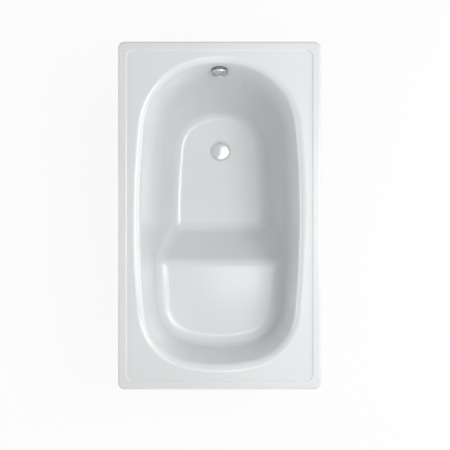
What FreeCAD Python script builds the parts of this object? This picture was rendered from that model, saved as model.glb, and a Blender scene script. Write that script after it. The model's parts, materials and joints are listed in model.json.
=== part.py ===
"""Sit-in bathtub: pressed steel tub with a moulded seat, on four screw feet.

Millimetres. The origin is on the room floor under the middle of the rim, +Z is up,
+Y points to the drain end and +X to the bather's right when seated.
"""
import FreeCAD
import Part
import Sketcher
import math
import os
import re
from types import SimpleNamespace

Vector = FreeCAD.Vector
Placement = FreeCAD.Placement
Rotation = FreeCAD.Rotation

# Driving dimensions, in millimetres and degrees.
SIZES = {
    # Rim
    "rim_length": 1200.0,
    "rim_width": 700.0,
    "rim_height": 580.0,
    "rim_corner_radius": 22.0,
    "rim_edge_radius": 8.0,
    "skirt_drop": 36.0,
    "lip_width": 28.0,
    "lip_raise": 4.0,
    "lip_corner_radius": 26.0,
    "lip_step_radius": 1.8,
    "sheet_thickness": 2.5,
    # Basin, its widths measured from the raised lip to the edge of the bowl
    "deck_side_width": 45.0,
    "deck_drain_width": 39.0,
    "deck_seat_width": 54.0,
    "basin_depth": 400.0,
    "side_draft": 97.0,
    "drain_end_draft": 131.0,
    "seat_end_draft": 95.0,
    "drain_corner_radius": 240.0,
    "seat_corner_radius": 185.0,
    "side_sweep_angle": 5.5,
    "drain_crown_angle": 74.0,
    "seat_crown_angle": 77.0,
    "basin_roll_radius": 28.0,
    "basin_fillet_radius": 45.0,
    # Seat and riser
    "seat_rise": 165.0,
    "riser_offset": 49.0,
    "riser_run": 120.0,
    "riser_foot_radius": 60.0,
    "seat_nose_radius": 40.0,
    # Drain and overflow openings of the tub
    "drain_setback": 273.0,
    "recess_radius": 38.0,
    "recess_depth": 4.0,
    "recess_edge_radius": 2.0,
    "drain_hole_radius": 26.0,
    "overflow_drop": 70.0,
    "overflow_hole_radius": 22.0,
    # Earth tag
    "tag_width": 30.0,
    "tag_height": 34.0,
    "tag_thickness": 2.0,
    "tag_overlap": 14.0,
    "tag_hole_radius": 3.2,
    "tag_hole_margin": 9.0,
    # Leg rails with their pads and studs
    "front_rail_setback": 198.0,
    "rear_rail_setback": 178.0,
    "rail_overhang": 25.0,
    "rail_width": 40.0,
    "rail_depth": 22.0,
    "rail_sheet": 2.5,
    "pad_length": 40.0,
    "pad_width": 30.0,
    "pad_thickness": 5.0,
    "pad_spread_share": 0.222,
    "stud_spread_share": 0.444,
    "stud_radius": 4.0,
    "stud_length": 20.0,
    "bolt_clearance": 0.5,
    "washer_radius": 9.0,
    "washer_thickness": 1.6,
    "bolt_flats": 13.0,
    "bolt_nut_height": 6.5,
    # Rear posts
    "post_sheet": 2.0,
    "post_foot_height": 85.0,
    "post_bolt_drop": 10.0,
    "post_bolt_head": 5.3,
    "bolt_thread_end": 3.0,
    "end_plate_thickness": 5.0,
    # Feet
    "foot_margin": 150.0,
    "foot_radius": 25.0,
    "foot_edge": 2.0,
    "foot_base_height": 9.0,
    "foot_neck_radius": 11.0,
    "foot_height": 24.0,
    "foot_socket_depth": 16.0,
    "rod_radius": 5.0,
    "running_fit": 0.06,
    "leg_nut_flats": 17.0,
    "weld_nut_height": 8.0,
    "lock_nut_height": 6.0,
    "front_rod_rise": 20.0,
    "rear_rod_rise": 35.0,
    # Waste fitting
    "waste_gasket_thickness": 3.0,
    "waste_gasket_bore": 27.0,
    "body_flange_radius": 37.0,
    "body_flange_thickness": 4.0,
    "body_radius": 30.0,
    "thread_depth": 24.0,
    "thread_fit": 0.1,
    "chamber_wall": 3.0,
    "chamber_depth": 40.0,
    "dip_tube_radius": 20.0,
    "dip_tube_wall": 3.0,
    "dip_tube_length": 70.0,
    "flange_radius": 35.0,
    "flange_thickness": 3.0,
    "flange_bore_radius": 23.0,
    "flange_tube_wall": 2.0,
    "flange_tube_length": 22.0,
    "flange_seal_radius": 34.0,
    "flange_seal_thickness": 1.0,
    "spider_height": 4.0,
    "spider_arm_width": 4.0,
    "spider_hub_radius": 7.0,
    # Plug
    "plug_radius": 33.0,
    "plug_edge": 1.6,
    "plug_rise": 4.4,
    "plug_seal_radius": 29.0,
    "plug_seal_bore": 24.0,
    "plug_seal_thickness": 2.0,
    "plug_seat_gap": 0.1,
    "stem_radius": 4.0,
    # Lift lever
    "lever_reach": 20.0,
    "lever_drop": 52.5,
    "lever_hub_radius": 5.5,
    "lever_tip_radius": 3.5,
    "lever_bar_height": 5.0,
    "lever_thickness": 6.0,
    "lever_gap": 0.3,
    "lever_shaft_radius": 3.0,
    "lever_shaft_left": 24.0,
    "lever_shaft_right": 34.0,
    "lever_arm_offset": 27.0,
    "lever_arm_thickness": 5.0,
    "lever_arm_length": 18.0,
    "lever_arm_width": 9.0,
    # Trap
    "trap_seal_thickness": 3.0,
    "trap_seal_radius": 27.0,
    "trap_radius": 45.0,
    "trap_wall": 4.0,
    "trap_head_height": 50.0,
    "outlet_drop": 25.5,
    "outlet_radius": 20.0,
    "outlet_wall": 3.0,
    "outlet_reach": 125.0,
    "outlet_collar_radius": 20.8,
    "outlet_collar_reach": 62.0,
    "cup_seal_thickness": 2.0,
    "cup_depth": 26.5,
    "cup_floor": 3.0,
    "cup_skirt_wall": 3.3,
    "cup_skirt_lap": 3.0,
    # Overflow fitting
    "face_seal_thickness": 3.0,
    "face_seal_radius": 28.0,
    "face_seal_bore": 24.0,
    "faceplate_radius": 29.0,
    "faceplate_thickness": 2.5,
    "face_hole_radius": 5.0,
    "face_hole_pitch": 15.0,
    "face_screw_pitch": 16.5,
    "screw_radius": 2.0,
    "screw_clearance": 0.2,
    "screw_head_radius": 3.6,
    "screw_head_height": 2.4,
    "screw_length": 22.0,
    "back_gasket_thickness": 3.0,
    "back_gasket_bore": 25.0,
    "overflow_flange_radius": 34.0,
    "overflow_flange_thickness": 4.0,
    "overflow_cup_radius": 28.0,
    "overflow_cup_wall": 4.0,
    "overflow_cup_depth": 40.0,
    "screw_boss_radius": 4.5,
    "knob_radius": 30.0,
    "knob_edge": 6.0,
    "knob_rise": 3.0,
    "knob_gap": 3.0,
    "shaft_radius": 5.0,
    "shaft_tail": 12.0,
    "crank_gap": 2.5,
    "crank_thickness": 6.0,
    "crank_hub_radius": 9.0,
    "crank_length": 14.0,
    "crank_pin_radius": 2.5,
    "crank_pin_length": 6.0,
    # Overflow pipe with its sockets, nuts and seals
    "pipe_radius": 16.0,
    "pipe_wall": 2.0,
    "pipe_fit": 0.15,
    "pipe_bend_radius": 60.0,
    "pipe_standoff": 27.0,
    "inlet_drop": 46.0,
    "inlet_reach": 54.0,
    "outlet_socket_drop": 58.0,
    "socket_wall": 3.85,
    "socket_depth": 18.0,
    "pipe_seal_thickness": 4.0,
    "pipe_nut_wall": 2.8,
    "pipe_nut_length": 26.0,
    "pipe_nut_collar": 6.0,
    # Control cable with its sockets and clips
    "cable_radius": 3.0,
    "cable_fit": 0.05,
    "cable_offset": 28.0,
    "cable_boss_radius": 5.5,
    "cable_boss_length": 30.0,
    "cable_port_reach": 34.0,
    "cable_boss_depth": 12.0,
    "clip_wall": 2.5,
    "clip_length": 10.0,
    "clip_bar_height": 6.0,
    # One overrun for every cut
    "overrun": 10.0,
}

# Wall of the basin: depth of each section, and how much of its draft it has taken there.
WALL_LEVEL_SHARES = (-0.06, 0.0, 0.32, 0.61, 0.8, 1.0, 1.12)
WALL_DRAFT_SHARES = (-0.042, 0.0, 0.225, 0.425, 0.66, 1.0, 1.228)
# Clips sit at these shares of the upright and of the level run of the pipe.
UPRIGHT_CLIP_SHARES = (0.3, 0.75)
LEVEL_CLIP_SHARES = (0.6,)
SPIDER_ARMS = 3
FACE_HOLES = 4
NEAR = 1e-3

os.makedirs("parts", exist_ok=True)
doc = FreeCAD.newDocument("sit_in_bathtub")
sheet = doc.addObject("Spreadsheet::Sheet", "sizes")
for row, (name, number) in enumerate(SIZES.items(), 1):
    sheet.set(f"A{row}", name)
    sheet.set(f"B{row}", str(number))
    sheet.setAlias(f"B{row}", name)
doc.recompute()
size = SimpleNamespace(**{name: float(sheet.get(name)) for name in SIZES})
nodes = {}

# Levels that several pieces share
deck_z = size.rim_height - size.lip_raise
floor_z = size.rim_height - size.basin_depth
seat_z = floor_z + size.seat_rise
floor_under_z = floor_z - size.sheet_thickness
seat_under_z = seat_z - size.sheet_thickness
recess_z = floor_z - size.recess_depth
waste_top_z = recess_z - size.sheet_thickness - size.waste_gasket_thickness
basin_half_width = size.rim_width / 2 - size.lip_width - size.deck_side_width
basin_drain_reach = size.rim_length / 2 - size.lip_width - size.deck_drain_width
basin_seat_reach = size.rim_length / 2 - size.lip_width - size.deck_seat_width
drain_y = basin_drain_reach - size.drain_setback
floor_half_width = basin_half_width - size.side_draft
foot_spread = size.rim_width / 2 - size.foot_margin
stud_spread = floor_half_width * size.stud_spread_share
pad_spread = floor_half_width * size.pad_spread_share


def keep(piece):
    """Name a finished sub-part as one of the nodes."""
    nodes[piece.Label] = piece
    return piece


def bound(formula):
    """Turn a formula of size names into one that reads the sheet."""
    return re.sub(r"\b(?!tan\b|cos\b|sqrt\b)([a-z]\w*)", r"sizes.\1", formula)


def at(x, y, z, turn=None):
    """A placement at a point, turned if asked."""
    return Placement(Vector(x, y, z), turn or Rotation())


ALONG_X = Rotation(Vector(0, 1, 0), 90)
ALONG_Y = Rotation(Vector(1, 0, 0), -90)
FLOOR_UNDER = "(rim_height-basin_depth-sheet_thickness)"
SEAT_UNDER = "(rim_height-basin_depth+seat_rise-sheet_thickness)"


def cylinder(label, radius, height, spot):
    """A cylinder bound to the sheet, standing on its placement."""
    piece = doc.addObject("Part::Cylinder", label)
    piece.setExpression("Radius", bound(radius))
    piece.setExpression("Height", bound(height))
    piece.Placement = spot
    return piece


def box(label, length, width, height, spot):
    """A box bound to the sheet, from its placement along +X, +Y and +Z."""
    piece = doc.addObject("Part::Box", label)
    piece.setExpression("Length", bound(length))
    piece.setExpression("Width", bound(width))
    piece.setExpression("Height", bound(height))
    piece.Placement = spot
    return piece


def joined(label, *pieces):
    """One solid made of several overlapping ones."""
    piece = doc.addObject("Part::MultiFuse", label)
    piece.Shapes = list(pieces)
    piece.Refine = True
    return piece


def cut(label, base, *tools):
    """A solid with other solids cut out of it."""
    piece = doc.addObject("Part::Cut", label)
    piece.Base = base
    piece.Tool = tools[0] if len(tools) == 1 else joined(label + "_tools", *tools)
    return piece


def outline_sketch(body, name, role, points, circles=()):
    """A closed outline of straight edges, every corner placed by a formula of sizes."""
    sketch = body.newObject("Sketcher::SketchObject", name)
    plane = next(part for part in body.Origin.OriginFeatures if part.Role == role)
    sketch.AttachmentSupport = (plane, "")
    sketch.MapMode = "FlatFace"
    count = len(points)
    start = [Vector(math.cos(2 * math.pi * i / count), math.sin(2 * math.pi * i / count), 0)
             for i in range(count)]
    for i in range(count):
        sketch.addGeometry(Part.LineSegment(start[i], start[(i + 1) % count]))
    for i in range(count):
        sketch.addConstraint(Sketcher.Constraint("Coincident", i, 2, (i + 1) % count, 1))
    for i, (across, up) in enumerate(points):
        place_point(sketch, i, 1, across, up)
    for across, up, radius in circles:
        circle = sketch.addGeometry(Part.Circle(Vector(), Vector(0, 0, 1), 1.0))
        place_point(sketch, circle, 3, across, up)
        index = sketch.addConstraint(Sketcher.Constraint("Radius", circle, 1.0))
        sketch.setExpression(f"Constraints[{index}]", bound(radius))
    return sketch


def place_point(sketch, geometry, point, across, up):
    """Place one point of a sketch by two formulas."""
    for kind, axis, formula in (("DistanceX", -2, across), ("DistanceY", -1, up)):
        if formula == "0":
            sketch.addConstraint(Sketcher.Constraint("PointOnObject", geometry, point, axis))
        else:
            distance = Sketcher.Constraint(kind, -1, 1, geometry, point, 1.0)
            index = sketch.addConstraint(distance)
            sketch.setExpression(f"Constraints[{index}]", bound(formula))


def turned(label, points, spot):
    """A piece turned about the Z axis of its placement from an outline of (radius, height)."""
    body = doc.addObject("PartDesign::Body", label)
    profile = outline_sketch(body, label + "_profile", "XZ_Plane", points)
    turn = body.newObject("PartDesign::Revolution", label + "_turn")
    turn.Profile = profile
    turn.ReferenceAxis = (profile, ["V_Axis"])
    turn.Angle = 360
    body.Placement = spot
    return body


def padded(label, role, points, length, spot, circles=(), both_ways=False):
    """A piece with a constant section, padded from an outline with round holes."""
    body = doc.addObject("PartDesign::Body", label)
    profile = outline_sketch(body, label + "_profile", role, points, circles)
    pad = body.newObject("PartDesign::Pad", label + "_pad")
    pad.Profile = profile
    pad.setExpression("Length", bound(length))
    if both_ways:
        pad.SideType = "Symmetric"
    body.Placement = spot
    return body


def ring(label, inner, outer, height, spot):
    """A flat ring, such as a washer or a seal."""
    corners = [(inner, "0"), (outer, "0"), (outer, height), (inner, height)]
    return turned(label, corners, spot)


def hexagon(flats):
    """The corners of a hexagon across its flats."""
    half = f"{flats}/2"
    side = f"{flats}/2*tan(30)"
    tip = f"{flats}/2/cos(30)"
    return [("0", "-" + tip), (half, "-" + side), (half, side),
            ("0", tip), ("-" + half, side), ("-" + half, "-" + side)]


def rectangle(length, width):
    """The corners of a rectangle about the origin."""
    return [(f"-{length}/2", f"-{width}/2"), (f"{length}/2", f"-{width}/2"),
            (f"{length}/2", f"{width}/2"), (f"-{length}/2", f"{width}/2")]


def group(label, master, spots):
    """Identical pieces in one node, each its own solid."""
    doc.recompute()
    piece = doc.addObject("Part::Feature", label)
    copies = []
    for spot in spots:
        copy = master.Shape.copy()
        copy.Placement = spot
        copies.append(copy)
    piece.Shape = Part.makeCompound(copies)
    return keep(piece)


# The tub shell

def quarter_arcs(width, reach, corner, sweep, crown):
    """Side, corner and crown arcs of a quarter of the bowl's outline, tangent to each other.

    Each arc is (centre x, centre y, radius, first angle, last angle). The first and last
    angles are the same on every level, so the wall between two levels stays smooth.
    """
    sine = math.sin(math.radians(sweep))
    cosine = math.cos(math.radians(sweep))
    lean = (1 - math.sin(math.radians(crown))) / math.cos(math.radians(crown))
    side = reach - corner + corner * sine - lean * (width - corner * cosine)
    side /= sine - lean * (1 - cosine)
    corner_x = width - side + (side - corner) * cosine
    corner_y = (side - corner) * sine
    crown_radius = corner_x / math.cos(math.radians(crown)) + corner
    crown_y = corner_y - corner_x * math.tan(math.radians(crown))
    return ((width - side, 0.0, side, 0.0, sweep),
            (corner_x, corner_y, corner, sweep, crown),
            (0.0, crown_y, crown_radius, crown, 180.0 - crown))


def arc_points(arc, mirror_x, mirror_y, level):
    """Start, middle and end of an arc, mirrored into its quarter."""
    centre_x, centre_y, radius, first, last = arc
    points = []
    for angle in (first, (first + last) / 2, last):
        x = centre_x + radius * math.cos(math.radians(angle))
        y = centre_y + radius * math.sin(math.radians(angle))
        points.append(Vector(mirror_x * x, mirror_y * y, level))
    return points


def bowl_outline(level, draft_share, offset):
    """The closed outline of the bowl on one level, moved outwards by the offset."""
    inset = size.side_draft * draft_share
    width = basin_half_width - inset + offset
    drain = quarter_arcs(width, basin_drain_reach - size.drain_end_draft * draft_share + offset,
                         size.drain_corner_radius - inset + offset,
                         size.side_sweep_angle, size.drain_crown_angle)
    seat = quarter_arcs(width, basin_seat_reach - size.seat_end_draft * draft_share + offset,
                        size.seat_corner_radius - inset + offset,
                        size.side_sweep_angle, size.seat_crown_angle)
    chain = [arc_points(arc, 1, 1, level) for arc in drain]
    chain += [arc_points(arc, -1, 1, level)[::-1] for arc in drain[1::-1]]
    chain += [arc_points(arc, -1, -1, level) for arc in seat]
    chain += [arc_points(arc, 1, -1, level)[::-1] for arc in seat[1::-1]]
    return Part.Wire([Part.Arc(*points).toShape() for points in chain])


def edges_along(shape, y, z):
    """The edges that run along X through a point of the side view."""
    return [edge for edge in shape.Edges
            if all(abs(v.Y - y) < NEAR and abs(v.Z - z) < NEAR for v in edge.Vertexes)]


def edges_on_level(shape, z, reach_x=None, reach_y=None):
    """The level edges of a shape at one height, those near the middle if asked."""
    found = []
    for edge in shape.Edges:
        middle = edge.valueAt((edge.FirstParameter + edge.LastParameter) / 2)
        level = all(abs(v.Z - z) < NEAR for v in edge.Vertexes) and abs(middle.z - z) < NEAR
        inside = reach_x is None or (abs(middle.x) < reach_x and abs(middle.y) < reach_y)
        if level and inside:
            found.append(edge)
    return found


def ground_block(offset):
    """What lies under the bowl: footwell floor, riser and seat as one stepped block."""
    lean = size.riser_run / size.seat_rise
    back = offset * math.hypot(1, lean)
    low = floor_z - offset
    high = seat_z - offset
    foot_y = -size.riser_offset - (low - floor_z) * lean - back
    nose_y = -size.riser_offset - (high - floor_z) * lean - back
    far = size.rim_length
    bottom = low - size.rim_height
    corners = [Vector(0, far, bottom), Vector(0, far, low), Vector(0, foot_y, low),
               Vector(0, nose_y, high), Vector(0, -far, high), Vector(0, -far, bottom)]
    face = Part.Face(Part.makePolygon(corners + corners[:1]))
    block = face.extrude(Vector(2 * size.rim_width, 0, 0))
    block.translate(Vector(-size.rim_width, 0, 0))
    block = block.makeFillet(size.seat_nose_radius - offset, edges_along(block, nose_y, high))
    return block.makeFillet(size.riser_foot_radius + offset, edges_along(block, foot_y, low))


def bowl(offset):
    """The space inside the bowl, or with an offset the outside of its sheet."""
    wall_height = deck_z - floor_z
    sections = [bowl_outline(deck_z - wall_height * level, draft, offset)
                for level, draft in zip(WALL_LEVEL_SHARES, WALL_DRAFT_SHARES)]
    ground = ground_block(offset)
    space = Part.makeLoft(sections, True).cut(ground)
    seam = []
    for edge in space.Edges:
        middle = edge.valueAt((edge.FirstParameter + edge.LastParameter) / 2)
        on_ground = ground.Shells[0].distToShape(Part.Vertex(middle))[0] < NEAR
        if on_ground and edge.Curve.TypeId != "Part::GeomLine":
            seam.append(edge)
    return space.makeFillet(size.basin_fillet_radius + offset, seam)


def rounded_block(inset, corner, bottom, top):
    """A block of the rim's outline, inset all round."""
    width = size.rim_width - 2 * inset
    length = size.rim_length - 2 * inset
    block = Part.makeBox(width, length, top - bottom, Vector(-width / 2, -length / 2, bottom))
    upright = [edge for edge in block.Edges if abs(edge.tangentAt(0).z) > 1 - NEAR]
    return block.makeFillet(corner, upright)


def overflow_seat(inside):
    """Placement on the drain-end wall where the overflow goes through, Z into the tub."""
    level = size.rim_height - size.overflow_drop
    ray = Part.makeLine(Vector(0, 0, level), Vector(0, size.rim_length, level))
    point = max((v.Point for v in inside.common(ray).Vertexes), key=lambda p: p.y)
    wall = min(inside.Faces, key=lambda face: face.distToShape(Part.Vertex(point))[0])
    inward = wall.normalAt(*wall.Surface.parameter(point)) * -1
    across = Vector(1, 0, 0)
    return Placement(point, Rotation(across, inward.cross(across), inward, "ZXY"))


def make_shell(inside, outside, overflow_spot):
    """Rim with raised lip and skirt, bowl with rolled edge, drain recess and holes."""
    sheet_gauge = size.sheet_thickness
    skirt_z = size.rim_height - size.skirt_drop
    rim = rounded_block(0, size.rim_corner_radius, skirt_z, size.rim_height)
    rim = rim.makeFillet(size.rim_edge_radius, edges_on_level(rim, size.rim_height))
    recess = rounded_block(size.lip_width, size.lip_corner_radius, deck_z,
                           size.rim_height + size.overrun)
    rim = rim.cut(recess)
    near_x = size.rim_width / 2 - size.lip_width / 2
    near_y = size.rim_length / 2 - size.lip_width / 2
    step = edges_on_level(rim, deck_z) + edges_on_level(rim, size.rim_height, near_x, near_y)
    rim = rim.makeFillet(size.lip_step_radius, step)

    above = rounded_block(0, size.rim_corner_radius, deck_z - sheet_gauge / 2,
                          2 * size.rim_height)
    hollow = rounded_block(sheet_gauge, size.rim_corner_radius - sheet_gauge,
                           skirt_z - size.overrun, size.rim_height - sheet_gauge)
    hollow = hollow.makeFillet(size.rim_edge_radius - sheet_gauge,
                               edges_on_level(hollow, size.rim_height - sheet_gauge))
    under_deck = rounded_block(size.lip_width - sheet_gauge, size.lip_corner_radius + sheet_gauge,
                               deck_z - sheet_gauge, size.rim_height + size.overrun)
    hollow = hollow.cut(under_deck).cut(outside)
    roll_x = basin_half_width + size.basin_roll_radius
    roll_y = basin_drain_reach + size.basin_roll_radius
    hollow = hollow.makeFillet(size.basin_roll_radius - sheet_gauge,
                               edges_on_level(hollow, deck_z - sheet_gauge, roll_x, roll_y))

    shell = rim.fuse(outside.cut(above)).cut(inside).cut(hollow)
    shell = shell.makeFillet(size.basin_roll_radius, edges_on_level(shell, deck_z, roll_x, roll_y))

    drain = Vector(0, drain_y, recess_z - sheet_gauge)
    saucer = Part.makeCylinder(size.recess_radius + sheet_gauge, floor_z - drain.z, drain)
    dish = Part.makeCylinder(size.recess_radius, size.recess_depth, drain + Vector(0, 0, sheet_gauge))
    hole = Part.makeCylinder(size.drain_hole_radius, size.recess_depth + sheet_gauge, drain)
    shell = shell.fuse(saucer.cut(dish)).cut(dish).cut(hole).removeSplitter()
    dish_edge = [edge for edge in edges_on_level(shell, floor_z)
                 if getattr(edge.Curve, "Radius", 0) and abs(edge.Curve.Radius - size.recess_radius) < NEAR]
    shell = shell.makeFillet(size.recess_edge_radius, dish_edge)

    bore = Part.makeCylinder(size.overflow_hole_radius, 2 * size.overrun)
    bore.translate(Vector(0, 0, -size.overrun))
    bore.Placement = overflow_spot.multiply(bore.Placement)
    piece = doc.addObject("Part::Feature", "tub_shell")
    piece.Shape = shell.cut(bore)
    return keep(piece)


def make_earth_tag():
    """Bonding tag welded inside the skirt at the seat end."""
    hole_up = "tag_hole_margin-tag_height/2"
    skirt_z = size.rim_height - size.skirt_drop
    spot = at(0, -size.rim_length / 2 + size.sheet_thickness + size.tag_thickness,
              skirt_z + size.tag_overlap - size.tag_height / 2)
    return keep(padded("earth_tag", "XZ_Plane", rectangle("tag_width", "tag_height"),
                       "tag_thickness", spot, [("0", hole_up, "tag_hole_radius")]))


# Legs

def make_rail(label, reach, top, cross_holes):
    """A channel across the tub, open below, with stud holes and foot or post holes."""
    half = "rail_width/2"
    inner = "rail_width/2-rail_sheet"
    section = [("-" + half, "-rail_depth"), ("-" + half, "0"), (half, "0"), (half, "-rail_depth"),
               (inner, "-rail_depth"), (inner, "-rail_sheet"),
               (f"-({inner})", "-rail_sheet"), (f"-({inner})", "-rail_depth")]
    channel = padded(label + "_channel", "YZ_Plane", section,
                     "rim_width-2*foot_margin+2*rail_overhang",
                     at(0, reach, top), both_ways=True)
    holes = []
    for side in (-1, 1):
        holes.append(cylinder(f"{label}_stud_hole_{side + 1}", "stud_radius+bolt_clearance",
                              "rail_sheet+2*overrun",
                              at(side * stud_spread, reach, top - size.rail_sheet - size.overrun)))
        x = side * foot_spread
        if cross_holes:
            holes.append(cylinder(f"{label}_bolt_hole_{side + 1}", "stud_radius+bolt_clearance",
                                  "rail_width+2*overrun",
                                  at(x, reach - size.rail_width / 2 - size.overrun,
                                     top - size.rail_sheet - size.post_bolt_drop, ALONG_Y)))
        else:
            holes.append(cylinder(f"{label}_rod_hole_{side + 1}", "rod_radius+bolt_clearance",
                                  "rail_sheet+2*overrun",
                                  at(x, reach, top - size.rail_sheet - size.overrun)))
    return keep(cut(label, channel, *holes))


def make_post(label, side, reach, top):
    """Square tube from the rear rail down to the end plate."""
    width = "(rail_width-2*rail_sheet)"
    hollow = f"({width}-2*post_sheet)"
    length = SEAT_UNDER + "-pad_thickness-rail_sheet-post_foot_height"
    foot = at(side * foot_spread, reach, size.post_foot_height)
    outer = padded(label + "_outer", "XY_Plane", rectangle(width, width), length, foot)
    inner = padded(label + "_inner", "XY_Plane", rectangle(hollow, hollow), length, foot)
    bolt_hole = cylinder(label + "_bolt_hole", "stud_radius+bolt_clearance", "rail_width",
                         at(side * foot_spread, reach - size.rail_width / 2,
                            top - size.post_bolt_drop, ALONG_Y))
    return keep(cut(label, outer, inner, bolt_hole))


def make_legs():
    """Rails, pads, studs, posts, nuts, rods and feet."""
    front_y = basin_drain_reach - size.front_rail_setback
    rear_y = size.rear_rail_setback - basin_seat_reach
    front_top = floor_under_z - size.pad_thickness
    rear_top = seat_under_z - size.pad_thickness
    rails = ((front_y, front_top), (rear_y, rear_top))
    make_rail("front_rail", front_y, front_top, False)
    make_rail("rear_rail", rear_y, rear_top, True)

    pad = padded("rail_pad", "XY_Plane", rectangle("pad_length", "pad_width"), "pad_thickness", at(0, 0, 0))
    for name, (y, top) in zip(("front_rail_pads", "rear_rail_pads"), rails):
        group(name, pad, [at(side * pad_spread, y, top) for side in (-1, 1)])

    stud = cylinder("rail_stud", "stud_radius", "stud_length", at(0, 0, 0))
    washer = ring("stud_washer", "stud_radius+bolt_clearance", "washer_radius", "washer_thickness",
                  at(0, 0, 0))
    nut = padded("bolt_nut", "XY_Plane", hexagon("bolt_flats"), "bolt_nut_height", at(0, 0, 0),
                 [("0", "0", "stud_radius")])
    stud_places = [(side * stud_spread, y, top) for y, top in rails for side in (-1, 1)]
    under_web = -size.rail_sheet - size.washer_thickness
    group("rail_studs", stud, [at(x, y, top + size.pad_thickness - size.stud_length)
                               for x, y, top in stud_places])
    group("stud_washers", washer, [at(x, y, top + under_web) for x, y, top in stud_places])
    group("stud_nuts", nut, [at(x, y, top + under_web - size.bolt_nut_height)
                             for x, y, top in stud_places])

    web_under = rear_top - size.rail_sheet
    make_post("rear_post_left", -1, rear_y, web_under)
    make_post("rear_post_right", 1, rear_y, web_under)
    head = padded("bolt_head", "XY_Plane", hexagon("bolt_flats"), "post_bolt_head", at(0, 0, 0))
    shank = cylinder("bolt_shank", "stud_radius", "post_bolt_head+rail_width+bolt_nut_height+bolt_thread_end",
                     at(0, 0, 0))
    bolt = joined("post_bolt", head, shank)
    bolt_z = web_under - size.post_bolt_drop
    head_y = rear_y - size.rail_width / 2 - size.post_bolt_head
    nut_y = rear_y + size.rail_width / 2
    sides = [side * foot_spread for side in (-1, 1)]
    group("post_bolts", bolt, [at(x, head_y, bolt_z, ALONG_Y) for x in sides])
    group("post_nuts", nut, [at(x, nut_y, bolt_z, ALONG_Y) for x in sides])

    width = "(rail_width-2*rail_sheet)"
    plate = padded("end_plate", "XY_Plane", rectangle(width, width), "end_plate_thickness", at(0, 0, 0),
                   [("0", "0", "rod_radius+bolt_clearance")])
    plate_z = size.post_foot_height - size.end_plate_thickness
    group("post_end_plates", plate, [at(x, rear_y, plate_z) for x in sides])

    weld_nut = padded("weld_nut", "XY_Plane", hexagon("leg_nut_flats"), "weld_nut_height", at(0, 0, 0),
                      [("0", "0", "rod_radius+running_fit")])
    lock_nut = padded("lock_nut", "XY_Plane", hexagon("leg_nut_flats"), "lock_nut_height", at(0, 0, 0),
                      [("0", "0", "rod_radius+running_fit")])
    front_nut_z = front_top - size.rail_sheet - size.weld_nut_height
    group("leg_weld_nuts", weld_nut, [at(x, front_y, front_nut_z) for x in sides]
          + [at(x, rear_y, size.post_foot_height) for x in sides])
    group("leg_lock_nuts", lock_nut, [at(x, front_y, front_nut_z - size.lock_nut_height) for x in sides]
          + [at(x, rear_y, plate_z - size.lock_nut_height) for x in sides])

    front_rod_top = FLOOR_UNDER + "-pad_thickness+front_rod_rise"
    rear_rod_top = "post_foot_height+rear_rod_rise"
    rod_z = size.foot_height - size.foot_socket_depth
    for end, y, top in (("front", front_y, front_rod_top), ("rear", rear_y, rear_rod_top)):
        for hand, x in zip(("left", "right"), sides):
            make_foot(f"foot_{end}_{hand}", x, y)
            keep(cylinder(f"rod_{end}_{hand}", "rod_radius", f"{top}-foot_height+foot_socket_depth",
                          at(x, y, rod_z)))


def make_foot(label, x, y):
    """Plastic foot with a socket for the rod."""
    socket = "rod_radius+running_fit"
    socket_floor = "foot_height-foot_socket_depth"
    outline = [("0", "0"), ("foot_radius-foot_edge", "0"), ("foot_radius", "foot_edge"),
               ("foot_radius", "foot_base_height"), ("foot_neck_radius", "foot_base_height+foot_edge"),
               ("foot_neck_radius", "foot_height"), (socket, "foot_height"),
               (socket, socket_floor), ("0", socket_floor)]
    return keep(turned(label, outline, at(x, y, 0)))


# Waste, plug and trap

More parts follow.
